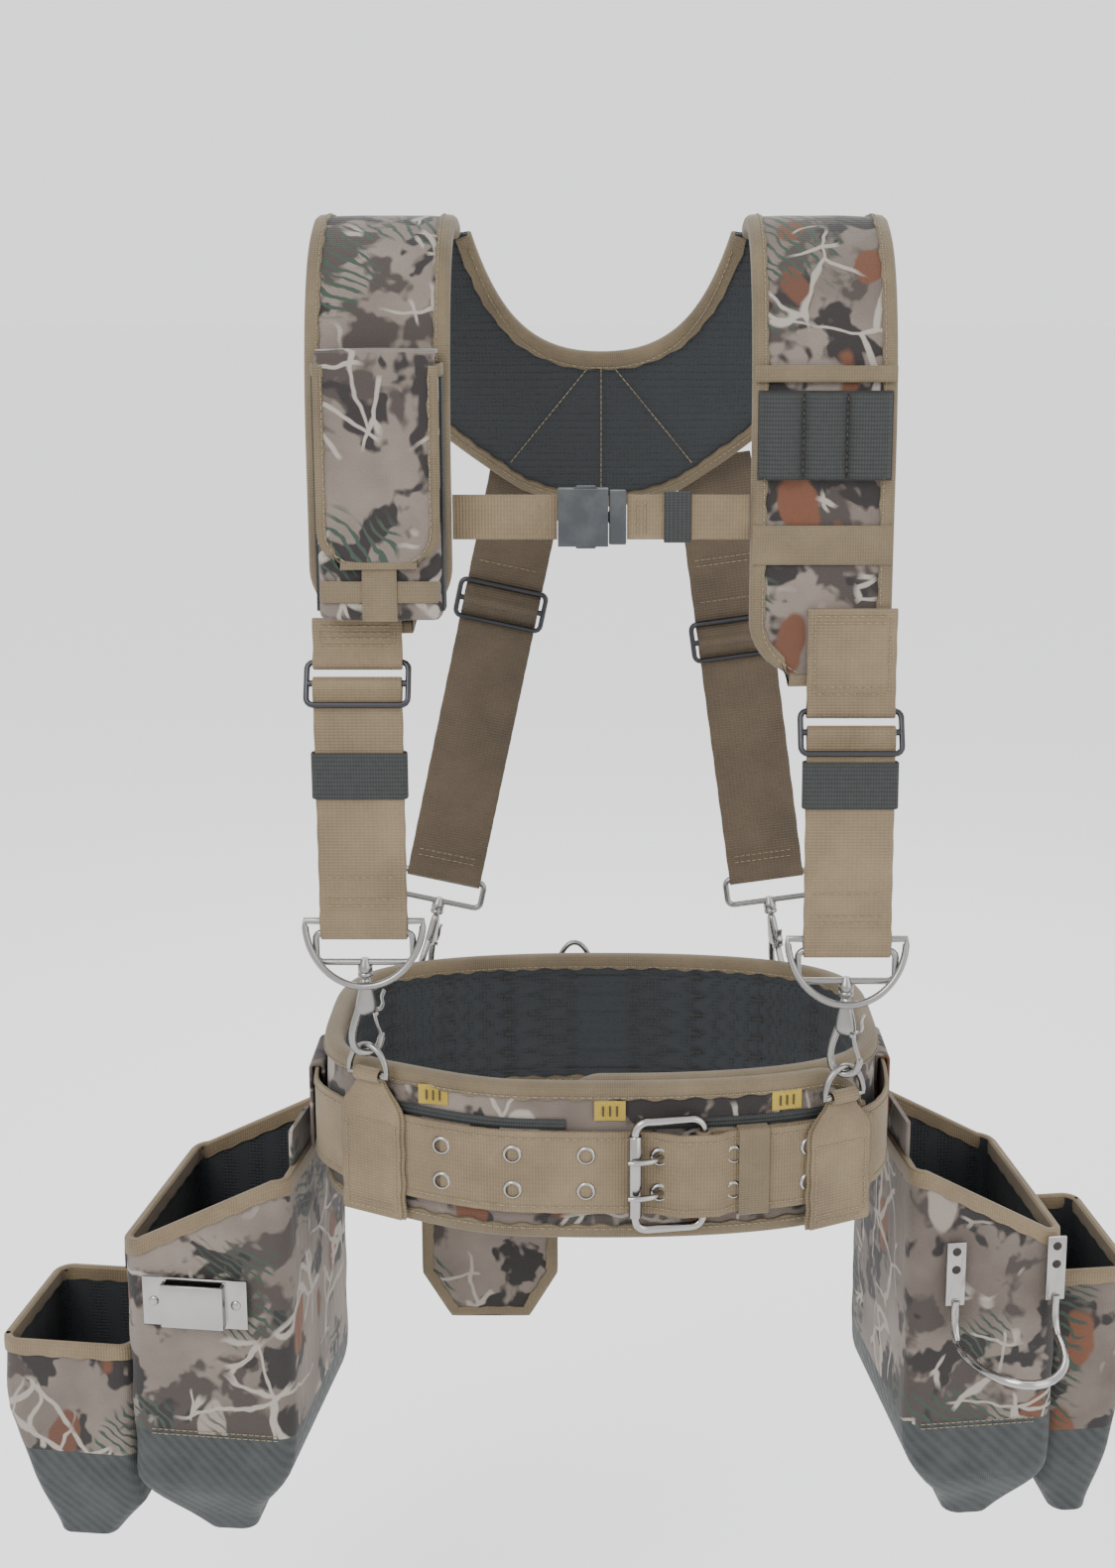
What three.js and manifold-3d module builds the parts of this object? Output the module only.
// Work belt rig: a padded waist belt with two tool pouches, carried by padded suspenders.
// Millimetres. X runs to the wearer's left hand, Y to the back, Z up. "Left" and "right" in the
// names are as seen by someone facing the wearer, so left is -X.
// The origin is the centre of the waist opening, level with the top edge of the belt.
import * as THREE from 'three';
import { mergeVertices } from 'three/addons/utils/BufferGeometryUtils.js';
import Module from 'manifold-3d';

const wasm = await Module();
wasm.setup();

// ---------- clearances ----------
const TOUCH = 0.4;          // between pieces that rest on each other
const SLIDE = 0.8;          // around a piece that slides in another
const OVER = 1;             // how far a cutting solid runs past the piece it cuts

// ---------- belt ----------
const BELT_HALF_W = 165;    // to the middle of the pad, side to side
const BELT_HALF_D = 108;    // to the middle of the pad, front to back
const SIDE_POWER = 2.2;     // how round the front and back run
const FRONT_POWER = 4;      // how straight the sides run
const BELT_H = 95;
const PAD_T = 10;
const PAD_UNDER_START = -25;   // inner end of the pad, along the belt from the front centre
const PAD_OVER_END = 150;      // outer end of the pad
const WEB_T = 2.4;
const BELT_WEB_H = 50;
const BELT_WEB_Z = -52;        // middle of the webbing
const WEB_STAND = 2;           // the webbing stands this far off the pad at the front
const TONGUE_TIP = 160;
const GROMMET_R = 5;
const GROMMET_PITCH = 41;
const GROMMET_ROW = 11;        // each hole of a pair, above and below the middle
const GROMMET_FIRST = -4;      // pairs counted from the one that the prongs use
const GROMMET_LAST = 3;

// ---------- belt buckle ----------
const BAR_S = 57;              // buckle bar, along the belt from the front centre
const ROLLER_S = 19;
const PRONG_HOLE_S = 32.5;
const BUCKLE_H = 66;
const BUCKLE_WIRE_R = 2.5;
const ROLLER_R = 3.9;
const PRONG_R = 1.7;
const SLEEVE_T = 1.6;          // webbing wall around a bar

// ---------- suspender straps ----------
const STRAP_W = 50;
const STRAP_T = 4.4;           // two layers sewn together
const HOOK_WIRE_R = 2.2;
const HOOK_HALF_W = 8.6;       // hook wire, from its middle line
const RING_WIRE_R = 1.8;
const RING_H = 18;
const RING_W = 26;
const EYE_W = 56;
const EYE_H = 18;
const EYE_WIRE_R = 2;
const EYE_Z = 56;              // lower bar of the eye, above the bottom of the hook
const COLLAR_R = 4.4;
const COLLAR_H = 9;
const SHANK_R = 1.9;
const D_W = 68;
const D_H = 38;
const D_LEAN = 12;             // degrees that the D-ring leans forward of the hook
const D_RISE = 7;              // D-ring bar above the top bar of the eye
const SLIDER_BAR_R = 1.9;
const SLIDER_H = 24.8;
const SLIDER_W = 57;
const SLIDER_LEAN = 25;        // degrees that a front slider leans
const SLIDER_STAND = 5.6;      // back slider bar, in front of the middle of its strap
const SLIDER_TILT_ROOM = 1;    // extra room around the top bar of a front slider
const SEWN_L = 38;             // webbing sewn to the face of the right pad
const KEEPER_H = 27;
const KEEPER_T = 1.2;

// ---------- legs of the suspenders, by side ----------
const FRONT_LOOP_S = { left: -133, right: 131 };
const FRONT_TOP_Y = -103;      // straps at the front sliders
const FRONT_HOOK_TURN = { left: 24, right: -24 };   // degrees, about the strap
const FRONT_RING_Z = { left: -3, right: -11 };      // ring bar
const FRONT_SLIDER_Z = { left: 231, right: 203 };
const FRONT_KEEPER_Z = { left: 178, right: 173 };
const PAD_BOTTOM = { left: 265, right: 235 };
const BACK_RING_S = 118;       // each side of the back centre, along the belt
const BACK_RING_Z = -30;
const BACK_RING_STAND = 16;    // ring bar, out from the middle of the pad
const BACK_TOP = { left: [-47, 117.6, 330], right: [72, 113, 340] };
const BACK_SLIDER_UP = { left: 190, right: 165 };   // above the bottom of the strap

// ---------- shoulder pads and yoke ----------
const SHOULDER_X = 123;
const SHOULDER_W = 80;
const SHOULDER_T = 10;
const SHOULDER_TOP_Z = 483;
const YOKE_T = 8;
const YOKE_TOP = [20, 480];    // Y, Z of the middle of the yoke at the shoulders
const YOKE_TIP = [113, 308];
const YOKE_NECK_HALF = 79;
const YOKE_NECK_DROP = 84;

// ---------- phone pocket and pen loops ----------
const POCKET = { x: -121, w: 70, d: 22, low: 268, high: 408, wall: 3 };
const FLAP = { w: 66, t: 3, hinge: 416, low: 301 };
const PEN = { x: 123, w: 72, low: 345, high: 392, bulge: 7, wall: 1.2, count: 3 };

// ---------- chest strap ----------
const CHEST_Z = 323;
const CHEST_H = 25;
const CHEST_T = 2;
const CHEST_END = 83 - TOUCH;
const SOCKET = { x0: -24, x1: 4, d: 10, h: 32, wall: 2, cavity: 24 };
const PLUG_END = 14;

// ---------- pouches ----------
const TUNNEL_L = 50;           // length of the belt tunnel of a pouch
const TUNNEL_WALL = 2.4;
const TUNNEL_ROOM = 1.5;       // between the tunnel and the webbing
const CLOTH_T = 3;
const POUCH = {
  left: { side: -1, y: -4, turn: 7, w: 106, len: 150, toe: -334, outW: 86, outLen: 104, outY: -14,
    outTop: -205, outLow: -345 },
  right: { side: 1, y: 10, turn: 7, w: 98, len: 150, toe: -332, outW: 56, outLen: 110, outY: 4,
    outTop: -168, outLow: -345 },
};
const POUCH_RIM = -128;        // front rim of the main pocket
const POUCH_BACK = -84;        // top edge of the back panel, below the tunnel
const TAPER_TOP = -262;        // where the sides start to draw in to the toe

const colours = {
  camo: 0x8a7c70, webbing: 0x96826a, darkWeb: 0x695844, mesh: 0x16191b,
  elastic: 0x282c2c, steel: 0xb8b8b8, gunmetal: 0x54565a, plastic: 0x3c4146,
};
const finishes = { steel: [0.25, 1], gunmetal: [0.35, 1], plastic: [0.5, 0] };

const rig = new THREE.Group();

function addMesh(name, geometry, colour, parent = rig) {
  const [roughness, metalness] = finishes[colour] ?? [0.95, 0];
  const material = new THREE.MeshStandardMaterial({ color: colours[colour], roughness, metalness });
  const mesh = new THREE.Mesh(geometry, material);
  mesh.name = name;
  parent.add(mesh);
  return mesh;
}

// ---------- solids ----------
function toSolid(geometry) {
  const bare = geometry.clone();
  bare.deleteAttribute('normal');
  bare.deleteAttribute('uv');
  const merged = mergeVertices(bare, 1e-4);
  const vertProperties = new Float32Array(merged.attributes.position.array);
  const triVerts = new Uint32Array(merged.index.array);
  return new wasm.Manifold(new wasm.Mesh({ numProp: 3, vertProperties, triVerts }));
}

function toGeometry(solid) {
  const mesh = solid.getMesh();
  const geometry = new THREE.BufferGeometry();
  geometry.setAttribute('position', new THREE.BufferAttribute(mesh.vertProperties, 3));
  geometry.setIndex(new THREE.BufferAttribute(mesh.triVerts, 1));
  geometry.computeVertexNormals();
  return geometry;
}

const join = (...pieces) => toGeometry(pieces.map(toSolid).reduce((sum, piece) => sum.add(piece)));
const cut = (piece, ...tools) =>
  toGeometry(tools.map(toSolid).reduce((left, tool) => left.subtract(tool), toSolid(piece)));

// A box from its lowest to its highest corner.
function boxBetween([x0, y0, z0], [x1, y1, z1]) {
  const box = new THREE.BoxGeometry(x1 - x0, y1 - y0, z1 - z0);
  return box.translate((x0 + x1) / 2, (y0 + y1) / 2, (z0 + z1) / 2);
}

// A round bar along X, Y or Z through a point.
function bar(axis, radius, length, [x, y, z] = [0, 0, 0], sides = 12) {
  const cylinder = new THREE.CylinderGeometry(radius, radius, length, sides);
  if (axis === 'x') cylinder.rotateZ(Math.PI / 2);
  if (axis === 'z') cylinder.rotateX(Math.PI / 2);
  return cylinder.translate(x, y, z);
}

const extrude = (shape, depth, curveSegments = 5) =>
  new THREE.ExtrudeGeometry(shape, { depth, bevelEnabled: false, curveSegments });

// A side view in Y and Z, extruded along X and centred on x.
function extrudeAcross(shape, width, x = 0) {
  const axes = new THREE.Matrix4().makeBasis(
    new THREE.Vector3(0, 1, 0), new THREE.Vector3(0, 0, 1), new THREE.Vector3(1, 0, 0));
  return extrude(shape, width).applyMatrix4(axes).translate(x - width / 2, 0, 0);
}

// A front view in X and Z, extruded back along Y from y.
function extrudeBack(shape, depth, y = 0) {
  return extrude(shape, depth).rotateX(Math.PI / 2).translate(0, y + depth, 0);
}

// A band of even thickness along a line of points, as a flat outline.
function bandShape(points, thickness) {
  const offsetLine = (side) => points.map((point, i) => {
    const before = points[Math.max(i - 1, 0)];
    const after = points[Math.min(i + 1, points.length - 1)];
    const along = after.clone().sub(before).normalize();
    return new THREE.Vector2(point.x - side * along.y, point.y + side * along.x);
  });
  return new THREE.Shape([...offsetLine(-thickness / 2), ...offsetLine(thickness / 2).reverse()]);
}

function roundedOutline(w, h, r) {
  const shape = new THREE.Shape();
  shape.moveTo(w / 2, -h / 2 + r);
  shape.lineTo(w / 2, h / 2 - r);
  shape.absarc(w / 2 - r, h / 2 - r, r, 0, Math.PI / 2);
  shape.lineTo(-w / 2 + r, h / 2);
  shape.absarc(-w / 2 + r, h / 2 - r, r, Math.PI / 2, Math.PI);
  shape.lineTo(-w / 2, -h / 2 + r);
  shape.absarc(-w / 2 + r, -h / 2 + r, r, Math.PI, 1.5 * Math.PI);
  shape.lineTo(w / 2 - r, -h / 2);
  shape.absarc(w / 2 - r, -h / 2 + r, r, 1.5 * Math.PI, 2 * Math.PI);
  return shape;
}

// A straight bar at height 0 closed by a half ellipse that rises to h.
function dOutline(w, h) {
  const shape = new THREE.Shape();
  shape.moveTo(-w / 2, 0);
  shape.lineTo(w / 2, 0);
  shape.absellipse(0, 0, w / 2, h, 0, Math.PI);
  return shape;
}

// A round wire bent into a closed flat outline: a torus whose ring follows the outline.
function loopWire(outline, radius, curveSegments = 3, sides = 6) {
  const near = 0.5;
  const points = outline.getPoints(curveSegments).filter(
    (point, i, all) => i === 0 || point.distanceTo(all[i - 1]) > near);
  if (points[0].distanceTo(points[points.length - 1]) < near) points.pop();
  const count = points.length;
  const torus = new THREE.TorusGeometry(1, radius, sides, count);
  const place = torus.attributes.position;
  for (let j = 0; j <= sides; j++) {
    const turn = (j / sides) * 2 * Math.PI;
    for (let i = 0; i <= count; i++) {
      const point = points[i % count];
      const before = points[(i + count - 1) % count];
      const after = points[(i + 1) % count];
      const along = after.clone().sub(before).normalize();
      const out = radius * Math.cos(j === sides ? 0 : turn);
      const up = radius * Math.sin(j === sides ? 0 : turn);
      place.setXYZ(j * (count + 1) + i, point.x + out * along.y, point.y - out * along.x, up);
    }
  }
  return torus;
}

// A round wire along a smooth open line.
function rod(points, radius, steps, sides = 6) {
  const path = new THREE.CatmullRomCurve3(points.map((p) => new THREE.Vector3(...p)));
  const section = new THREE.Shape();
  section.absarc(0, 0, radius, 0, 2 * Math.PI);
  return new THREE.ExtrudeGeometry(section, { steps, curveSegments: sides / 2, extrudePath: path });
}

const upright = (geometry) => geometry.rotateX(Math.PI / 2);   // a flat outline, stood up in X and Z

// ---------- the line of the belt, seen from above ----------
const BELT_SAMPLES = 360;
const beltLine = [];
for (let i = 0; i <= BELT_SAMPLES; i++) {
  const angle = -Math.PI / 2 + (i / BELT_SAMPLES) * 2 * Math.PI;
  const c = Math.cos(angle);
  const s = Math.sin(angle);
  const x = BELT_HALF_W * Math.sign(c) * Math.abs(c) ** (2 / SIDE_POWER);
  const y = BELT_HALF_D * Math.sign(s) * Math.abs(s) ** (2 / FRONT_POWER);
  const before = beltLine[i - 1];
  beltLine.push({ x, y, s: before ? before.s + Math.hypot(x - before.x, y - before.y) : 0 });
}
const BELT_LENGTH = beltLine[BELT_SAMPLES].s;

function beltPoint(s) {
  const wrapped = ((s % BELT_LENGTH) + BELT_LENGTH) % BELT_LENGTH;
  const i = Math.max(1, beltLine.findIndex((point) => point.s >= wrapped));
  const t = (wrapped - beltLine[i - 1].s) / (beltLine[i].s - beltLine[i - 1].s);
  return new THREE.Vector2(
    THREE.MathUtils.lerp(beltLine[i - 1].x, beltLine[i].x, t),
    THREE.MathUtils.lerp(beltLine[i - 1].y, beltLine[i].y, t));
}

// s is the distance along the belt from the front centre towards +X, and out is away from the pad.
function beltAt(s, out = 0) {
  const near = 3;
  const along = beltPoint(s + near).sub(beltPoint(s - near)).normalize();
  const normal = new THREE.Vector2(along.y, -along.x);
  return { point: beltPoint(s).addScaledVector(normal, out), along, normal };
}

const smooth = (from, to, s) => THREE.MathUtils.smoothstep(s, from, to);

// Middle of the pad: its outer end climbs over its inner end at the front.
const PAD_CLIMB = PAD_T + 1;
const padOut = (s) => PAD_CLIMB * smooth(BELT_LENGTH - 130, BELT_LENGTH - 45, s);

// Middle of the webbing: over the pad, off it at the pouches and at the front.
const SIDE_S = BELT_LENGTH / 4;
const tunnelLift = TUNNEL_WALL + 2 * TUNNEL_ROOM - TOUCH;
function webOut(s) {
  const onPad = PAD_T / 2 + TOUCH + WEB_T / 2;
  const climb = PAD_CLIMB * (1 - smooth(PAD_OVER_END + 3, PAD_OVER_END + 45, s)) + padOut(s);
  const front = 1 - smooth(110, 180, s) + smooth(BELT_LENGTH - 180, BELT_LENGTH - 110, s);
  const nearSide = (side) => smooth(side - 75, side - 40, s) * (1 - smooth(side + 40, side + 75, s));
  const lift = Math.max(nearSide(SIDE_S), nearSide(BELT_LENGTH - SIDE_S)) * tunnelLift;
  return onPad + climb + Math.max(front * (WEB_STAND - TOUCH), lift);
}
const SLEEVE_R = BUCKLE_WIRE_R + TOUCH + SLEEVE_T;
const BAR_OUT = PAD_CLIMB + PAD_T / 2 + TOUCH + SLEEVE_R;
const layerStep = WEB_T + TOUCH + 0.1;
function tongueOut(s) {
  const over = s - BELT_LENGTH;
  const overBar = BAR_OUT + SLEEVE_R + TOUCH + WEB_T / 2;
  const low = webOut(over > 0 ? over : s);
  const under = low + (over > 0 ? layerStep * smooth(38, 46, over) : 0);
  const bump = smooth(24, 48, over) * (1 - smooth(64, 73, over));
  return THREE.MathUtils.lerp(under, overBar, bump);
}
const webLine = (s) => (s < BELT_LENGTH - 1 ? webOut(s) : tongueOut(s));

function beltStrip(s0, s1, line, thickness, low, height, step = 13) {
  const count = Math.ceil((s1 - s0) / step);
  const side = (push) => Array.from({ length: count + 1 }, (_, i) => {
    const s = THREE.MathUtils.lerp(s0, s1, i / count);
    return beltAt(s, line(s) + push).point;
  });
  const outline = new THREE.Shape([...side(thickness / 2), ...side(-thickness / 2).reverse()]);
  return extrude(outline, height).translate(0, 0, low);
}

// A group whose X runs along the belt, Y in towards the wearer, and whose origin is at (s, out, z).
function beltFrame(s, out, z) {
  const { point, along } = beltAt(s, out);
  const group = new THREE.Group();
  group.position.set(point.x, point.y, z);
  group.rotation.z = Math.atan2(along.y, along.x);
  rig.add(group);
  return group;
}

function buildBelt() {
  addMesh('belt_pad', beltStrip(PAD_UNDER_START, BELT_LENGTH + PAD_OVER_END, padOut, PAD_T, -BELT_H, BELT_H),
    'camo');

  const webLow = BELT_WEB_Z - BELT_WEB_H / 2;
  const strip = beltStrip(BAR_S, BELT_LENGTH + TONGUE_TIP, webLine, WEB_T, webLow, BELT_WEB_H, 10);
  const barAt = beltAt(BAR_S, BAR_OUT).point;
  const sleeve = bar('z', SLEEVE_R, BELT_WEB_H, [barAt.x, barAt.y, BELT_WEB_Z]);
  const tools = [bar('z', BUCKLE_WIRE_R + TOUCH, BELT_WEB_H + 2 * OVER, [barAt.x, barAt.y, BELT_WEB_Z])];
  const notch = SLEEVE_R + TOUCH / 2;
  const prongRoom = 2 * PRONG_R + 2 * SLIDE;
  for (const rowSide of [-1, 1]) {
    const z = BELT_WEB_Z + rowSide * GROMMET_ROW;
    const slot = boxBetween([-notch, -notch, -prongRoom / 2], [notch, notch, prongRoom / 2]);
    tools.push(slot.rotateZ(frameTurn).translate(barAt.x, barAt.y, z));
    for (let k = GROMMET_FIRST; k <= GROMMET_LAST; k++) {
      const s = BELT_LENGTH + PRONG_HOLE_S + k * GROMMET_PITCH;
      const place = beltAt(s, webLine(s));
      const hole = bar('y', GROMMET_R, 2 * WEB_T + 2, [0, 0, 0], 8);
      hole.rotateZ(Math.atan2(place.along.y, place.along.x)).translate(place.point.x, place.point.y, z);
      if (k * GROMMET_PITCH + PRONG_HOLE_S < TONGUE_TIP - GROMMET_R) tools.push(hole);
    }
  }
  addMesh('belt_webbing', cut(join(strip, sleeve), ...tools), 'webbing');
}

// ---------- belt buckle ----------
const rollerOut = webOut(BELT_LENGTH - 1) + WEB_T / 2 + TOUCH + ROLLER_R;
const barPoint = beltAt(BAR_S, BAR_OUT).point;
const rollerPoint = beltAt(ROLLER_S, rollerOut).point;
const frameTurn = Math.atan2(barPoint.y - rollerPoint.y, barPoint.x - rollerPoint.x);
const buckleW = barPoint.distanceTo(rollerPoint);

function buildBuckle() {
  // Local X runs from the roller to the bar, so the roller is at -X.
  const frame = new THREE.Group();
  frame.position.set(barPoint.x, barPoint.y, BELT_WEB_Z);
  frame.rotation.z = frameTurn;
  rig.add(frame);
  const outline = roundedOutline(buckleW, BUCKLE_H, 6);
  const wire = upright(loopWire(outline, BUCKLE_WIRE_R, 3, 8)).translate(-buckleW / 2, 0, 0);
  addMesh('buckle_frame', wire, 'steel', frame);

  const rollerL = BUCKLE_H - 2 * 6 - 2;
  const roller = cut(bar('z', ROLLER_R, rollerL),
    bar('z', BUCKLE_WIRE_R + TOUCH, rollerL + 2 * OVER));
  addMesh('buckle_roller', roller, 'steel', frame).position.x = -buckleW;

  const ringR = BUCKLE_WIRE_R + TOUCH + 1.2;
  const over = -(ROLLER_R + TOUCH + PRONG_R);
  for (const [name, rowSide] of [['lower', -1], ['upper', 1]]) {
    const arm = rod([[-3.4, 1, 0], [-12, 3.2, 0], [-18.5, 3.3, 0], [-25, -0.2, 0], [-31, over + 0.8, 0],
      [-buckleW, over - 0.4, 0], [-buckleW - 5, over + 0.6, 0]], PRONG_R, 14);
    const ring = bar('z', ringR, 2 * PRONG_R + 0.6);
    const hole = bar('z', BUCKLE_WIRE_R + TOUCH, 2 * PRONG_R + 2 * OVER);
    const prong = addMesh(`buckle_prong_${name}`, cut(join(arm, ring), hole), 'steel', frame);
    prong.position.z = rowSide * GROMMET_ROW;
  }
}

const KEEPER_S = 84;
const BELT_KEEPER_W = 18;
function buildBeltKeeper() {
  const inner = webOut(KEEPER_S) - WEB_T / 2 - SLIDE / 2;
  const outer = tongueOut(BELT_LENGTH + KEEPER_S) + WEB_T / 2 + 2 * SLIDE;
  const frame = beltFrame(KEEPER_S, 0, BELT_WEB_Z);
  const halfW = BELT_KEEPER_W / 2;
  const halfH = BELT_WEB_H / 2 + SLIDE;
  const shell = boxBetween([-halfW, -outer - KEEPER_T, -halfH - KEEPER_T], [halfW, -inner + 0.9,
    halfH + KEEPER_T]);
  const room = boxBetween([-halfW - OVER, -outer, -halfH], [halfW + OVER, -inner, halfH]);
  addMesh('belt_keeper', cut(shell, room), 'webbing', frame);
}

// ---------- loops and rings that the suspenders clip to ----------
const SIDE_LOOP_W = 44;
const SIDE_LOOP_TOP_W = 18;
const LOOP_SLEEVE_R = RING_WIRE_R + SLIDE + SLEEVE_T;

// How far out a flat strip centred at s has to lie to clear the webbing behind it.
function flatOut(s, halfW, line) {
  const { point, normal } = beltAt(s);
  let out = 0;
  for (let d = -halfW; d <= halfW; d += 2) {
    out = Math.max(out, beltAt(s + d, line(s + d)).point.sub(point).dot(normal));
  }
  return out;
}
const frontOuter = (s) => {
  const along = s < 0 ? s + BELT_LENGTH : s;
  const tongue = s > 0 && s < TONGUE_TIP ? tongueOut(s + BELT_LENGTH) : 0;
  return Math.max(webOut(along), tongue) + WEB_T / 2;
};
const loopOut = {
  left: flatOut(FRONT_LOOP_S.left, SIDE_LOOP_W / 2, frontOuter) + TOUCH,
  right: flatOut(FRONT_LOOP_S.right, SIDE_LOOP_W / 2, frontOuter) + TOUCH,
};
const ringOutline = dOutline(RING_W, RING_H);

function buildFrontLoop(side) {
  const out = loopOut[side];
  const ringOut = out + LOOP_SLEEVE_R;
  const frame = beltFrame(FRONT_LOOP_S[side], 0, 0);
  const ringZ = FRONT_RING_Z[side];
  const neck = ringZ - 12;
  const leg = boxBetween([-SIDE_LOOP_W / 2, -out - WEB_T, -BELT_H + 2], [SIDE_LOOP_W / 2, -out, neck]);
  const top = boxBetween([-SIDE_LOOP_TOP_W / 2, -out - WEB_T, neck - 1], [SIDE_LOOP_TOP_W / 2, -out, ringZ]);
  const sleeve = bar('x', LOOP_SLEEVE_R, SIDE_LOOP_TOP_W, [0, -ringOut, ringZ]);
  const hole = bar('x', RING_WIRE_R + SLIDE, SIDE_LOOP_TOP_W + 2 * OVER, [0, -ringOut, ringZ]);
  addMesh(`side_loop_${side}`, cut(join(leg, top, sleeve), hole), 'webbing', frame);
  const ring = addMesh(`front_ring_${side}`, upright(loopWire(ringOutline, RING_WIRE_R, 4)), 'steel', frame);
  ring.position.set(0, -ringOut, ringZ);
}

const BACK_S = BELT_LENGTH / 2;
const TAPE_T = 2;
const TAPE_END = BACK_RING_S + 20;
const tapeLine = (s) => webOut(s) + WEB_T / 2 + TOUCH + TAPE_T / 2;
const TAPE_LOW = BELT_WEB_Z - 12;
const backRings = { left: BACK_RING_S, middle: 18, right: -BACK_RING_S };

function buildBackTape() {
  const top = BACK_RING_Z + 1;
  const pieces = [beltStrip(BACK_S - TAPE_END, BACK_S + TAPE_END, tapeLine, TAPE_T, TAPE_LOW, top - TAPE_LOW)];
  const holes = [];
  for (const [side, along] of Object.entries(backRings)) {
    const s = BACK_S + along;
    const out = side === 'middle' ? tapeLine(s) + LOOP_SLEEVE_R : BACK_RING_STAND;
    const { point, along: tangent } = beltAt(s);
    const place = (piece) => piece.rotateZ(Math.atan2(tangent.y, tangent.x)).translate(point.x, point.y, 0);
    const halfW = SIDE_LOOP_TOP_W / 2;
    const block = boxBetween([-halfW, -out - 1, BACK_RING_Z - 14], [halfW, -tapeLine(s), BACK_RING_Z - 2]);
    pieces.push(place(block));
    pieces.push(place(bar('x', LOOP_SLEEVE_R, 2 * halfW, [0, -out, BACK_RING_Z])));
    holes.push(place(bar('x', RING_WIRE_R + SLIDE, 2 * halfW + 2 * OVER, [0, -out, BACK_RING_Z])));
    const frame = beltFrame(s, 0, 0);
    const outline = side === 'middle' ? dOutline(RING_W + 2, RING_H + 16) : ringOutline;
    const ring = addMesh(`back_ring_${side}`, upright(loopWire(outline, RING_WIRE_R, 4)), 'steel', frame);
    ring.position.set(0, -out, BACK_RING_Z);
  }
  addMesh('back_ring_tape', cut(join(...pieces), ...holes), 'webbing');
}

// ---------- suspender legs ----------
// A leg is a straight line from the bottom of its hook, at the origin of its group, up along Z.
const RING_TO_HOOK = RING_H - RING_WIRE_R - HOOK_WIRE_R - SLIDE;
const EYE_TOP_Z = EYE_Z + EYE_H;
const D_BAR_Z = EYE_TOP_Z + D_RISE;

function buildHook(name, leg, turn) {
  const eye = upright(loopWire(roundedOutline(EYE_W, EYE_H, 3), EYE_WIRE_R, 2)).translate(0, 0,
    EYE_Z + EYE_H / 2);
  const collarLow = EYE_Z - COLLAR_H;
  const collar = bar('z', COLLAR_R, COLLAR_H + EYE_WIRE_R, [0, 0, collarLow + (COLLAR_H + EYE_WIRE_R) / 2]);
  const well = bar('z', SHANK_R + TOUCH, COLLAR_H, [0, 0, collarLow + COLLAR_H / 2 - OVER]);
  addMesh(`hook_eye_${name}`, cut(join(eye, collar), well), 'steel', leg);

  const hook = new THREE.Group();
  hook.rotation.z = THREE.MathUtils.degToRad(turn);
  leg.add(hook);
  const shoulder = collarLow - TOUCH;
  const gateZ = 27;
  const w = HOOK_HALF_W;
  const outline = new THREE.Shape([[-4, shoulder], [-6.5, gateZ - 3], [6.5, gateZ - 3], [4, shoulder]]
    .map(([x, z]) => new THREE.Vector2(x, z)));
  const body = extrudeBack(outline, 6, -3);
  const shank = bar('z', SHANK_R, COLLAR_H - 2, [0, 0, shoulder + (COLLAR_H - 2) / 2 - 0.5], 8);
  const wire = rod([[-4.6, 0, gateZ], [-w + 0.6, 0, 16], [-w, 0, 8.6], [-w * 0.707, 0, 2.5], [0, 0, 0],
    [w * 0.707, 0, 2.5], [w, 0, 8.6]], HOOK_WIRE_R, 16);
  const seat = boxBetween([2.2, -1.9, gateZ - 6.2], [9, 1.9, gateZ]);
  addMesh(`hook_body_${name}`, cut(join(body, shank, wire), seat), 'steel', hook);

  const lever = new THREE.Shape([[-1.6, -1.2], [-1, -8], [1.9, -15], [4.2, -15], [3.2, -8], [1.6, -1.2]]
    .map(([x, z]) => new THREE.Vector2(x, z)));
  const gate = addMesh(`hook_gate_${name}`, extrudeBack(lever, 2.8, -1.4), 'steel', hook);
  gate.position.set(5, 0, gateZ - 2.4);
}

// Frame of a slider: two long bars joined at the ends, and a middle bar.
function sliderFrame() {
  const frame = loopWire(roundedOutline(SLIDER_W, SLIDER_H, 3), SLIDER_BAR_R, 2);
  return upright(join(frame, bar('x', SLIDER_BAR_R, SLIDER_W)));
}

function strapLoop(z, y, outer, width = STRAP_W) {
  return bar('x', outer, width, [0, y, z]);
}
const strapHole = (z, y, radius) => bar('x', radius, STRAP_W + 2 * OVER, [0, y, z]);
const LEG_TOP = { low: D_BAR_Z + 6, bulge: 4.4 };
const sliderLean = THREE.MathUtils.degToRad(SLIDER_LEAN);
const sliderTopY = FRONT_TOP_Y + (SLIDER_H / 2) * Math.sin(sliderLean);
const SHOULDER_FRONT_Y = sliderTopY + WEB_T / 2 + TOUCH + SHOULDER_T / 2;   // middle of the pads' front

// The end of a strap that holds the eye, and at the front the D-ring.
function strapEnd(withD) {
  const high = withD ? LEG_TOP.low : EYE_TOP_Z + 6;
  const low = EYE_TOP_Z - EYE_WIRE_R - TOUCH - SLEEVE_T;
  return boxBetween([-STRAP_W / 2, -LEG_TOP.bulge, low], [STRAP_W / 2, LEG_TOP.bulge, high]);
}

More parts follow.
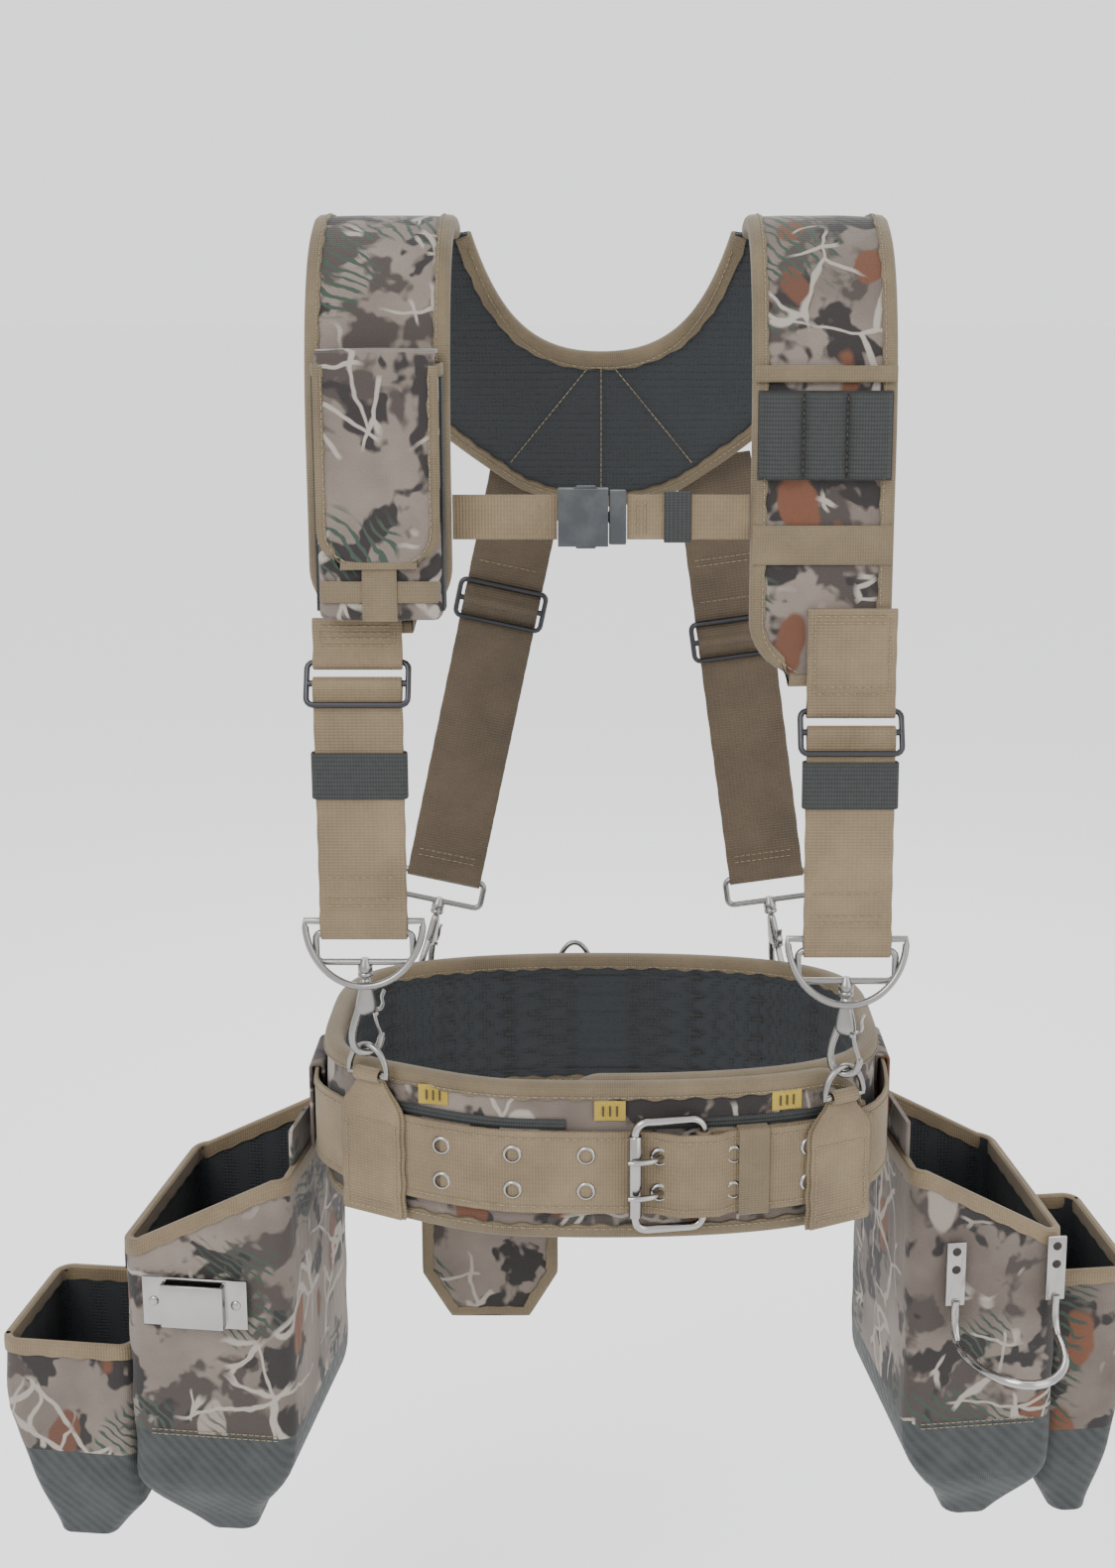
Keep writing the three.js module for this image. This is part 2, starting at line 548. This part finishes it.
function buildFrontLeg(side) {
  const frame = beltFrame(FRONT_LOOP_S[side], loopOut[side] + LOOP_SLEEVE_R, 0);
  const foot = frame.position;
  const leg = new THREE.Group();
  leg.position.set(foot.x, foot.y, FRONT_RING_Z[side] + RING_TO_HOOK);
  rig.add(leg);
  const base = leg.position.z;
  const sliderZ = Math.hypot(FRONT_TOP_Y - foot.y, FRONT_SLIDER_Z[side] - base);
  leg.rotation.x = -Math.asin((FRONT_TOP_Y - foot.y) / sliderZ);
  buildHook(`front_${side}`, leg, FRONT_HOOK_TURN[side]);

  const band = boxBetween([-STRAP_W / 2, -STRAP_T / 2, EYE_TOP_Z], [STRAP_W / 2, STRAP_T / 2, sliderZ]);
  const lower = cut(
    join(strapEnd(true), band, strapLoop(sliderZ, 0, SLIDER_BAR_R + TOUCH + SLEEVE_T)),
    strapHole(EYE_TOP_Z, 0, EYE_WIRE_R + TOUCH),
    strapHole(D_BAR_Z, 0, RING_WIRE_R + TOUCH),
    strapHole(sliderZ, 0, SLIDER_BAR_R + TOUCH));
  addMesh(`front_lower_strap_${side}`, lower, 'webbing', leg);

  const ring = loopWire(dOutline(D_W, D_H), RING_WIRE_R, 6).rotateX(-Math.PI / 2);
  const dRing = addMesh(`front_dring_${side}`, ring, 'steel', leg);
  dRing.position.z = D_BAR_Z;
  dRing.rotation.x = -THREE.MathUtils.degToRad(D_LEAN);

  const head = new THREE.Group();
  head.position.set(foot.x, FRONT_TOP_Y, FRONT_SLIDER_Z[side]);
  rig.add(head);
  addMesh(`front_slider_${side}`, sliderFrame(), 'gunmetal', head).rotation.x = -sliderLean;

  // The webbing from the pad goes round the top bar of the slider.
  const topY = (SLIDER_H / 2) * Math.sin(sliderLean);
  const topZ = (SLIDER_H / 2) * Math.cos(sliderLean);
  const roomR = SLIDER_BAR_R + SLIDER_TILT_ROOM;
  const end = (side === 'left' ? POCKET.low - TOUCH : PAD_BOTTOM.right + SEWN_L) - FRONT_SLIDER_Z[side];
  const sewn = boxBetween([-STRAP_W / 2, topY - WEB_T / 2, topZ + 1], [STRAP_W / 2, topY + WEB_T / 2, end]);
  const upper = cut(join(sewn, strapLoop(topZ, topY, roomR + SLEEVE_T)), strapHole(topZ, topY, roomR));
  addMesh(`front_upper_strap_${side}`, upper, 'webbing', head);

  const halfW = STRAP_W / 2 + SLIDE;
  const halfT = STRAP_T / 2 + TOUCH;
  const shell = boxBetween([-halfW - KEEPER_T, -halfT - KEEPER_T, -KEEPER_H / 2],
    [halfW + KEEPER_T, halfT + KEEPER_T, KEEPER_H / 2]);
  const room = boxBetween([-halfW, -halfT, -KEEPER_H / 2 - OVER], [halfW, halfT, KEEPER_H / 2 + OVER]);
  addMesh(`front_keeper_${side}`, cut(shell, room), 'elastic', leg).position.z = FRONT_KEEPER_Z[side] - base;

  const sign = side === 'left' ? -1 : 1;
  buildShoulderPad(side, sign, SHOULDER_FRONT_Y);
}

function buildBackLeg(side) {
  const s = BACK_S + backRings[side];
  const { point, along } = beltAt(s, BACK_RING_STAND);
  const foot = new THREE.Vector3(point.x, point.y, BACK_RING_Z + RING_TO_HOOK);
  const top = new THREE.Vector3(...BACK_TOP[side]);
  const up = top.clone().sub(foot);
  const length = up.length();
  const z = up.normalize();
  const x = new THREE.Vector3(1, 0, 0).addScaledVector(z, -z.x).normalize();
  const y = new THREE.Vector3().crossVectors(z, x);
  const leg = new THREE.Group();
  leg.position.copy(foot);
  leg.quaternion.setFromRotationMatrix(new THREE.Matrix4().makeBasis(x, y, z));
  rig.add(leg);
  const beltTurn = THREE.MathUtils.radToDeg(Math.atan2(-along.y, -along.x));
  buildHook(`back_${side}`, leg, beltTurn + (side === 'left' ? 50 : -50));

  const sliderZ = EYE_TOP_Z + BACK_SLIDER_UP[side];
  const band = boxBetween([-STRAP_W / 2, -STRAP_T / 2, EYE_TOP_Z], [STRAP_W / 2, STRAP_T / 2, length]);
  const strap = cut(
    join(strapEnd(false), band, strapLoop(sliderZ, -SLIDER_STAND, SLIDER_BAR_R + TOUCH + SLEEVE_T)),
    strapHole(EYE_TOP_Z, 0, EYE_WIRE_R + TOUCH),
    strapHole(sliderZ, -SLIDER_STAND, SLIDER_BAR_R + TOUCH));
  addMesh(`back_strap_${side}`, strap, 'darkWeb', leg);
  addMesh(`back_slider_${side}`, sliderFrame(), 'gunmetal', leg).position.set(0, -SLIDER_STAND, sliderZ);
}

// ---------- shoulder pads and yoke ----------
function buildShoulderPad(side, sign, y) {
  const line = [[y, PAD_BOTTOM[side]], [y, 400], [y + 10, 435], [y + 28, 468], [y + 56, SHOULDER_TOP_Z],
    [-8, SHOULDER_TOP_Z + 1], [YOKE_TOP[0] - 6, YOKE_TOP[1] + 1]].map((p) => new THREE.Vector2(...p));
  addMesh(`shoulder_pad_${side}`, extrudeAcross(bandShape(line, SHOULDER_T), SHOULDER_W,
    sign * SHOULDER_X), 'camo');
  const face = y - SHOULDER_T / 2 - TOUCH;
  if (side === 'left') buildPhonePocket(face);
  else buildPenLoops(face);
}

function buildYoke() {
  // Drawn flat with its top edge at height 0, then leaned back from the shoulders to its tip.
  const run = YOKE_TIP[0] - YOKE_TOP[0];
  const drop = YOKE_TOP[1] - YOKE_TIP[1];
  const length = Math.hypot(run, drop);
  const outer = SHOULDER_X + SHOULDER_W / 2;
  const shape = new THREE.Shape();
  shape.moveTo(-outer, 0);
  shape.lineTo(-outer + 4, -60);
  shape.quadraticCurveTo(-outer + 30, -120, -52, -length + 14);
  shape.quadraticCurveTo(0, -length - 14, 52, -length + 14);
  shape.quadraticCurveTo(outer - 30, -120, outer - 4, -60);
  shape.lineTo(outer, 0);
  shape.lineTo(YOKE_NECK_HALF, 0);
  shape.bezierCurveTo(62, -YOKE_NECK_DROP * 0.8, 36, -YOKE_NECK_DROP, 0, -YOKE_NECK_DROP);
  shape.bezierCurveTo(-36, -YOKE_NECK_DROP, -62, -YOKE_NECK_DROP * 0.8, -YOKE_NECK_HALF, 0);
  const yoke = extrudeBack(shape, YOKE_T, -YOKE_T / 2);
  yoke.rotateX(Math.atan2(run, drop)).translate(0, YOKE_TOP[0], YOKE_TOP[1]);
  addMesh('back_yoke', yoke, 'mesh');
}

function buildPhonePocket(face) {
  const { x, w, d, low, high, wall } = POCKET;
  const shell = boxBetween([x - w / 2, face - d, low], [x + w / 2, face, high]);
  const room = boxBetween([x - w / 2 + wall, face - d + wall, low + wall], [x + w / 2 - wall,
    face - wall, high + OVER]);
  addMesh('phone_pocket', cut(shell, room), 'camo');

  const front = -(d + TOUCH);
  const top = boxBetween([-FLAP.w / 2, front - FLAP.t, -FLAP.t], [FLAP.w / 2, -TOUCH, 0]);
  const drop = boxBetween([-FLAP.w / 2, front - FLAP.t, FLAP.low - FLAP.hinge], [FLAP.w / 2, front,
    -FLAP.t + 1]);
  addMesh('phone_pocket_flap', join(top, drop), 'camo').position.set(x, face, FLAP.hinge);
}

function buildPenLoops(face) {
  const { x, w, low, high, bulge, wall, count } = PEN;
  const pitch = w / count;
  const shell = boxBetween([x - w / 2, face - bulge, low], [x + w / 2, face, high]);
  const rooms = Array.from({ length: count }, (_, i) => {
    const left = x - w / 2 + i * pitch + wall;
    return boxBetween([left, face - bulge + wall, low - OVER], [left + pitch - 2 * wall,
      face - wall, high + OVER]);
  });
  addMesh('pen_loops', cut(shell, ...rooms), 'elastic');
}

// ---------- chest strap ----------
function buildChest(y) {
  const { x0, x1, d, h, wall, cavity } = SOCKET;
  const strap = (from, to) => boxBetween([from, y - CHEST_T / 2, CHEST_Z - CHEST_H / 2],
    [to, y + CHEST_T / 2, CHEST_Z + CHEST_H / 2]);
  addMesh('chest_strap_left', strap(-CHEST_END, x0 - TOUCH), 'webbing');
  addMesh('chest_strap_right', strap(PLUG_END + TOUCH, CHEST_END), 'webbing');

  const body = boxBetween([x0, y - d / 2, CHEST_Z - h / 2], [x1, y + d / 2, CHEST_Z + h / 2]);
  const inside = boxBetween([x1 - cavity, y - d / 2 + wall, CHEST_Z - h / 2 + wall],
    [x1 + OVER, y + d / 2 - wall, CHEST_Z + h / 2 - wall]);
  const windows = boxBetween([x0 + 9, y - 2.6, CHEST_Z - h], [x1 - 6, y + 2.6, CHEST_Z + h]);
  addMesh('chest_buckle_socket', cut(body, inside, windows), 'plastic');

  const base = boxBetween([x1 + TOUCH, y - d / 2 + 1, CHEST_Z - h / 2 + 1], [PLUG_END,
    y + d / 2 - 1, CHEST_Z + h / 2 - 1]);
  const guide = boxBetween([x1 - cavity + 3, y - 2, CHEST_Z - 2.5], [x1 + TOUCH + 1, y + 2, CHEST_Z + 2.5]);
  addMesh('chest_buckle_plug', join(base, guide), 'plastic');

  const reach = h / 2 - wall - TOUCH;
  const catchL = x1 - 6 - (x0 + 9) - 2 * SLIDE;
  for (const [name, sign] of [['lower', -1], ['upper', 1]]) {
    const arm = boxBetween([x0 + 9 + SLIDE, -2, reach - 4], [x1, 2, reach]);
    const button = boxBetween([x0 + 9 + SLIDE, -2, reach - 2], [x0 + 9 + SLIDE + catchL, 2, h / 2 + 1.5]);
    const prong = join(arm, button);
    if (sign < 0) prong.rotateX(Math.PI);
    addMesh(`chest_release_${name}`, prong, 'plastic').position.set(0, y, CHEST_Z);
  }
}

// ---------- pouches ----------
// Built with X out from the belt and Y along it, then turned to their side of the belt.
const TUNNEL_IN = PAD_T / 2 + TUNNEL_ROOM;
const TUNNEL_OUT = webOut(SIDE_S) + WEB_T / 2 + TUNNEL_ROOM + TUNNEL_WALL;

function outlineOf(points) {
  return new THREE.Shape(points.map(([x, z]) => new THREE.Vector2(x, z)));
}

function buildPouch(side) {
  const size = POUCH[side];
  const facing = -size.side;
  const group = new THREE.Group();
  group.position.set(size.side * BELT_HALF_W, size.y, 0);
  group.rotation.z = size.side < 0 ? Math.PI : 0;
  rig.add(group);

  const highest = BELT_WEB_Z + BELT_WEB_H / 2 + TOUCH;   // the pouch hangs on the webbing's top edge
  const lowest = BELT_WEB_Z - BELT_WEB_H / 2 - TUNNEL_ROOM;
  const halfL = TUNNEL_L / 2;
  const tunnel = boxBetween([TUNNEL_IN, -halfL, lowest - TUNNEL_WALL], [TUNNEL_OUT, halfL,
    highest + TUNNEL_WALL]);
  const passage = boxBetween([TUNNEL_IN + TUNNEL_WALL, -halfL - OVER, lowest],
    [TUNNEL_OUT - TUNNEL_WALL, halfL + OVER, highest]);

  const turn = THREE.MathUtils.degToRad(size.side * size.turn);
  const turned = (piece) => piece.rotateZ(turn).translate(TUNNEL_OUT - 0.5, 0, 0);
  const halfLen = size.len / 2;
  const low = size.toe;
  const w = size.w;
  const c = CLOTH_T;
  const body = outlineOf([[0, POUCH_BACK], [0, TAPER_TOP], [34, low], [66, low], [w, low + 46], [w, POUCH_RIM],
    [40, POUCH_RIM + 8], [14, POUCH_BACK]]);
  const room = outlineOf([[c, 0], [c, TAPER_TOP + 1], [34 + c / 2, low + c], [66 - c / 2, low + c],
    [w - c, low + 46 + c / 2], [w - c, 0]]);
  const shell = turned(extrudeBack(body, size.len, -halfLen));
  const hollow = turned(extrudeBack(room, size.len - 2 * c, -halfLen + c));
  const link = boxBetween([TUNNEL_OUT - TUNNEL_WALL, -halfL + 8, POUCH_BACK - 26],
    [TUNNEL_OUT + 2, halfL - 8, POUCH_BACK + 24]);
  addMesh(`pouch_${side}`, cut(join(tunnel, shell, link), passage, hollow), 'camo', group);

  const [top, bottom, outW] = [size.outTop, size.outLow, size.outW];
  const base = w + TOUCH;
  const lipHigh = top + 14;
  const outBody = outlineOf([[base, lipHigh], [base, bottom + 26], [base + outW * 0.25, bottom],
    [base + outW * 0.7, bottom], [base + outW, bottom + 90], [base + outW, top]]);
  const outRoom = outlineOf([[base + c, lipHigh + 20], [base + c, bottom + 26 + c],
    [base + outW * 0.25 + c / 2, bottom + c],
    [base + outW * 0.7 - c / 2, bottom + c], [base + outW - c, bottom + 90], [base + outW - c, lipHigh + 20]]);
  const outMid = facing * size.outY;
  const outShell = turned(extrudeBack(outBody, size.outLen, -size.outLen / 2 - outMid));
  const outHollow = turned(extrudeBack(outRoom, size.outLen - 2 * c, -size.outLen / 2 - outMid + c));
  addMesh(`outer_pocket_${side}`, cut(outShell, outHollow), 'camo', group);

  // What is riveted to the front face of the main pocket.
  const face = new THREE.Group();
  face.position.set(TUNNEL_OUT - 0.5, 0, 0);
  face.rotation.z = turn;
  group.add(face);
  const front = new THREE.Group();
  front.position.set(0, facing * (halfLen + TOUCH), 0);
  front.rotation.z = facing > 0 ? Math.PI : 0;
  face.add(front);
  if (side === 'left') buildTapeClip(front, -w * 0.56);
  else buildHammerLoop(front, w * 0.62);
}

const CLIP = { w: 66, h: 32, t: 1.6, z: -163, slotW: 36, slotD: 5, wall: 1.6 };
function buildTapeClip(front, x) {
  const { w, h, t, z, slotW, slotD, wall } = CLIP;
  const plateBox = boxBetween([x - w / 2, -t, z - h / 2], [x + w / 2, 0, z + h / 2]);
  const half = slotW / 2 + wall;
  const bridge = boxBetween([x - half, -t - slotD - wall, z - h / 2 + 2], [x + half, -0.2, z + h / 2 - 2]);
  const slot = boxBetween([x - slotW / 2, -t - slotD, z - h], [x + slotW / 2, -t, z + h]);
  addMesh('tape_clip', cut(join(plateBox, bridge), slot), 'gunmetal', front);
}

const HAMMER = { span: 64, plateW: 12, plateH: 42, t: 2, top: -128, bend: -192, reach: 58, rodR: 2.8 };
function buildHammerLoop(front, x) {
  const { span, plateW, plateH, t, top, bend, reach, rodR } = HAMMER;
  const half = span / 2;
  const plates = [-1, 1].map((end) => boxBetween(
    [x + end * half - plateW / 2, -t, top - plateH], [x + end * half + plateW / 2, 0, top]));
  const y = -rodR - TOUCH;
  const line = [[-half, y, top - plateH + 4], [-half, y, bend + 12], [-half, y - 6, bend + 1]];
  for (let angle = 168; angle >= 12; angle -= 26) {
    const a = THREE.MathUtils.degToRad(angle);
    line.push([half * Math.cos(a), y - 6 - (reach - 6) * Math.sin(a), bend]);
  }
  line.push([half, y - 6, bend + 1], [half, y, bend + 12], [half, y, top - plateH + 4]);
  const loop = rod(line.map(([px, py, pz]) => [px + x, py, pz]), rodR, 28);
  addMesh('hammer_loop', join(...plates, loop), 'steel', front);
}

// ---------- rear flap ----------
const REAR = { x: -78, w: 94, t: 3, pivotZ: -97.4, tip: -265, shoulder: -232, y: 108 };
function buildRearFlap() {
  const { x, w, t, pivotZ, tip, shoulder, y } = REAR;
  const z = (height) => height - pivotZ;
  const outline = outlineOf([[-w / 2, 1.5], [-w / 2, z(shoulder)], [-w * 0.28, z(tip)], [w * 0.28, z(tip)],
    [w / 2, z(shoulder)], [w / 2, 1.5]]);
  const back = beltAt(BACK_S + 78).point.y;
  addMesh('rear_flap', extrudeBack(outline, t, -t / 2), 'camo').position.set(x, Math.min(back, y), pivotZ);
}

buildBelt();
buildBuckle();
buildBeltKeeper();
for (const side of ['left', 'right']) {
  buildFrontLoop(side);
  buildFrontLeg(side);
  buildBackLeg(side);
  buildPouch(side);
}
buildBackTape();
buildYoke();
buildChest(SHOULDER_FRONT_Y);
buildRearFlap();

export default rig;
